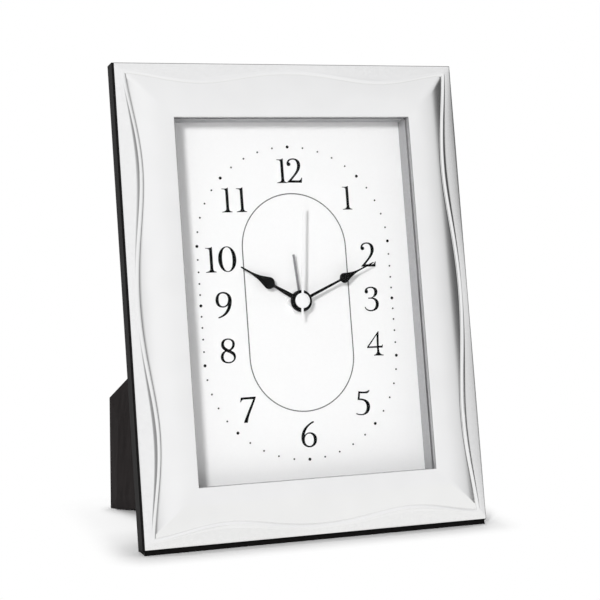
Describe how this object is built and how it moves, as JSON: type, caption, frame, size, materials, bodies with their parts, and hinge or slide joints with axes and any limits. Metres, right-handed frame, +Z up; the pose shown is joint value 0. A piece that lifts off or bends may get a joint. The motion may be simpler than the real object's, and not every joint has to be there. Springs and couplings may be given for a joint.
{
  "type": "photo frame clock",
  "caption": "Leaning table clock in a silver picture frame: oblong white dial, black hands, alarm hand, glass front, black body, hinged side strut and quartz alarm movement.",
  "frame": {"origin": "middle of the level flat under the frame's lower edge, on the table", "axes": "+X to the right of the dial as it is read, +Y to the back, +Z up; the face leans back 12 degrees"},
  "size_m": [0.1758, 0.1113, 0.2266],
  "materials": {
    "silver": "bright satin silver plate, softly reflecting",
    "black_wood": "black gloss lacquer",
    "clear_glass": "clear, flat",
    "surround_grey": "satin grey",
    "dial_white": "matt white with printed black numerals",
    "black_plastic": "fine grain",
    "dark_steel": "black oxide",
    "brass": "plain",
    "hand_black": "gloss black",
    "hand_silver": "bright",
    "white_plastic": "satin",
    "gear_plastic": "natural",
    "magnet": "dark, plain",
    "lamination": "plain",
    "copper_coil": "enamelled copper winding",
    "board_green": "solder resist",
    "sounder_metal": "plain",
    "cell_jacket": "plain printed jacket",
    "contact_plate": "nickel plated"
  },
  "bodies": {
    "clock": {"silver_front": "silver", "frame_body": "black_wood", "glass": "clear_glass", "dial_surround": "surround_grey", "dial_plate": "dial_white", "back_cover": "black_plastic", "cover_screws": "dark_steel", "hinge_fixed_leaves": "brass", "hinge_pins": "brass", "hinge_screws": "brass", "movement_front_case": "black_plastic", "movement_rear_case": "black_plastic", "fixing_nut": "brass", "fixing_washer": "black_plastic", "stator": "lamination", "coil": "copper_coil", "circuit_board": "board_green", "buzzer": "sounder_metal", "battery": "cell_jacket", "positive_contact": "contact_plate", "negative_contact": "contact_plate"},
    "strut": {"strut_panel": "black_wood", "hinge_moving_leaves": "brass", "strut_screws": "brass"},
    "minute_group": {"minute_hand": "hand_black", "minute_pipe": "brass"},
    "hour_group": {"hour_hand": "hand_black", "hour_wheel": "gear_plastic"},
    "motion": {"motion_wheel": "gear_plastic"},
    "time_setter": {"time_knob": "white_plastic"},
    "second_group": {"second_hand": "hand_silver", "second_wheel": "gear_plastic"},
    "third": {"third_wheel": "gear_plastic"},
    "centre": {"centre_wheel": "gear_plastic"},
    "intermediate": {"intermediate_wheel": "gear_plastic"},
    "step_rotor": {"rotor": "magnet"},
    "alarm_group": {"alarm_hand": "hand_silver", "alarm_wheel": "gear_plastic"},
    "alarm_setter": {"alarm_knob": "white_plastic"},
    "switch_slider": {"alarm_switch": "white_plastic"}
  },
  "joints": [
    {"name": "strut_hinge", "type": "hinge", "parent": "clock", "child": "strut", "pos_m": [-0.0358, 0.04074, 0.06327], "axis": [0, 0.2079, 0.9781], "range_deg": [-119.5, 0]},
    {"name": "minute_spin", "type": "hinge", "parent": "clock", "child": "minute_group", "pos_m": [0, 0.02816, 0.11082], "axis": [0, -0.9781, 0.2079], "continuous": true},
    {"name": "hour_spin", "type": "hinge", "parent": "clock", "child": "hour_group", "pos_m": [0, 0.02816, 0.11082], "axis": [0, -0.9781, 0.2079], "continuous": true},
    {"name": "motion_spin", "type": "hinge", "parent": "clock", "child": "motion", "pos_m": [0.00679, 0.02957, 0.11746], "axis": [0, -0.9781, 0.2079], "continuous": true},
    {"name": "time_setting", "type": "hinge", "parent": "clock", "child": "time_setter", "pos_m": [0.01639, 0.02957, 0.11746], "axis": [0, -0.9781, 0.2079], "continuous": true},
    {"name": "rotor_spin", "type": "hinge", "parent": "clock", "child": "step_rotor", "pos_m": [-0.01489, 0.02756, 0.10801], "axis": [0, -0.9781, 0.2079], "continuous": true},
    {"name": "intermediate_spin", "type": "hinge", "parent": "clock", "child": "intermediate", "pos_m": [-0.00789, 0.02756, 0.10801], "axis": [0, -0.9781, 0.2079], "continuous": true},
    {"name": "second_spin", "type": "hinge", "parent": "clock", "child": "second_group", "pos_m": [0, 0.02816, 0.11082], "axis": [0, -0.9781, 0.2079], "continuous": true},
    {"name": "third_spin", "type": "hinge", "parent": "clock", "child": "third", "pos_m": [-0.00118, 0.02955, 0.11737], "axis": [0, -0.9781, 0.2079], "continuous": true},
    {"name": "centre_spin", "type": "hinge", "parent": "clock", "child": "centre", "pos_m": [0, 0.02816, 0.11082], "axis": [0, -0.9781, 0.2079], "continuous": true},
    {"name": "alarm_spin", "type": "hinge", "parent": "clock", "child": "alarm_group", "pos_m": [0, 0.02816, 0.11082], "axis": [0, -0.9781, 0.2079], "continuous": true},
    {"name": "alarm_setting", "type": "hinge", "parent": "clock", "child": "alarm_setter", "pos_m": [-0.01128, 0.02901, 0.11484], "axis": [0, -0.9781, 0.2079], "continuous": true},
    {"name": "alarm_switch_slide", "type": "slide", "parent": "clock", "child": "switch_slider", "axis": [1, 0, 0], "range_m": [0, 0.004]}
  ],
  "couplings": [
    {"joint": "hour_spin", "follows": "minute_spin", "ratio": 0.083333},
    {"joint": "motion_spin", "follows": "minute_spin", "ratio": -0.33333},
    {"joint": "time_setting", "follows": "minute_spin", "ratio": 1},
    {"joint": "intermediate_spin", "follows": "rotor_spin", "ratio": -0.16667},
    {"joint": "second_spin", "follows": "rotor_spin", "ratio": 0.033333},
    {"joint": "third_spin", "follows": "rotor_spin", "ratio": -0.0044444},
    {"joint": "centre_spin", "follows": "rotor_spin", "ratio": 0.00055556},
    {"joint": "alarm_setting", "follows": "alarm_spin", "ratio": -1.5}
  ]
}
